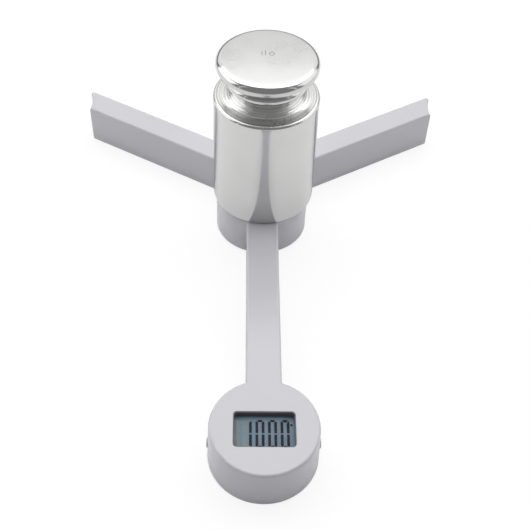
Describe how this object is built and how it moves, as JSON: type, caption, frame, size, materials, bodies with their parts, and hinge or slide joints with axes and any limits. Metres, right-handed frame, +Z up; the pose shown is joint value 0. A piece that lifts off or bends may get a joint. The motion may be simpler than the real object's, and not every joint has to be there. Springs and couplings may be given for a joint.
{
  "type": "folding three-arm digital scale",
  "caption": "Folding three-arm digital scale with a round hub, a display pod on its fixed front arm, two swinging side arms and a polished calibration weight standing on the hub.",
  "frame": {"origin": "on the hub's vertical axis, at the level of the table that the three feet stand on", "axes": "+Z up; the front arm and display pod point along -Y; the right arm is on the +X side"},
  "size_m": [0.1842, 0.2339, 0.1001],
  "materials": {
    "shell_plastic": "gloss",
    "cover_plastic": "satin",
    "hub_cap_plastic": "satin",
    "button_plastic": "satin",
    "screw_steel": "satin",
    "washer_plastic": "matte",
    "liner_plastic": "satin",
    "window_clear": "gloss",
    "lcd_glass": "gloss",
    "reflector_foil": "satin",
    "holder_plastic": "matte",
    "elastomer": "matte",
    "board_laminate": "satin",
    "chip_resin": "satin",
    "switch_plastic": "satin",
    "cell_can": "satin",
    "contact_nickel": "gloss",
    "cable_jacket": "satin",
    "load_plate_steel": "satin",
    "gauge_film": "gloss",
    "foot_plastic": "satin",
    "foot_rubber": "matte",
    "weight_steel": "polished"
  },
  "bodies": {
    "housing": {"upper_housing": "shell_plastic", "lower_cover": "cover_plastic", "hub_cap": "hub_cap_plastic", "axle_screw": "screw_steel", "thrust_washers": "washer_plastic", "housing_screws": "screw_steel", "display_liner": "liner_plastic", "display_window": "window_clear", "lcd_panel": "lcd_glass", "lcd_reflector": "reflector_foil", "lcd_holder": "holder_plastic", "elastomer_strip": "elastomer", "circuit_board": "board_laminate", "controller_chip": "chip_resin", "tact_switches": "switch_plastic", "battery": "cell_can", "battery_holder": "holder_plastic", "battery_contacts": "contact_nickel", "sensor_harness": "cable_jacket", "junction_board": "board_laminate", "pod_load_plate": "load_plate_steel", "pod_strain_gauge": "gauge_film", "pod_foot_cup": "foot_plastic", "pod_foot_pad": "foot_rubber"},
    "right_arm": {"right_arm_shell": "shell_plastic", "right_arm_cover": "cover_plastic", "right_arm_screws": "screw_steel", "right_load_plate": "load_plate_steel", "right_strain_gauge": "gauge_film", "right_foot_cup": "foot_plastic", "right_foot_pad": "foot_rubber"},
    "left_arm": {"left_arm_shell": "shell_plastic", "left_arm_cover": "cover_plastic", "left_arm_screws": "screw_steel", "left_load_plate": "load_plate_steel", "left_strain_gauge": "gauge_film", "left_foot_cup": "foot_plastic", "left_foot_pad": "foot_rubber"},
    "right_button": {"right_button": "button_plastic"},
    "left_button": {"left_button": "button_plastic"},
    "battery_door": {"battery_door": "cover_plastic"},
    "weight": {"weight_body": "weight_steel", "weight_knob": "weight_steel"}
  },
  "joints": [
    {"name": "right_arm_fold", "type": "hinge", "parent": "housing", "child": "right_arm", "pos_m": [0, 0, 0.0078], "axis": [0, 0, 1], "range_deg": [-120, 0]},
    {"name": "left_arm_fold", "type": "hinge", "parent": "housing", "child": "left_arm", "pos_m": [0, 0, 0.004], "axis": [0, 0, 1], "range_deg": [0, 120]},
    {"name": "right_button_press", "type": "slide", "parent": "housing", "child": "right_button", "axis": [-1, 0, 0], "range_m": [0, 0.0006], "stiffness_N_per_m": 2000, "springref_m": -0.0002},
    {"name": "left_button_press", "type": "slide", "parent": "housing", "child": "left_button", "axis": [1, 0, 0], "range_m": [0, 0.0006], "stiffness_N_per_m": 2000, "springref_m": -0.0002},
    {"name": "battery_door_turn", "type": "hinge", "parent": "housing", "child": "battery_door", "pos_m": [0, -0.1316, 0.0016], "axis": [0, 0, 1], "range_deg": [0, 40]},
    {"name": "weight_lift", "type": "slide", "parent": "housing", "child": "weight", "axis": [0, 0, 1], "range_m": [0, 0.06]}
  ]
}
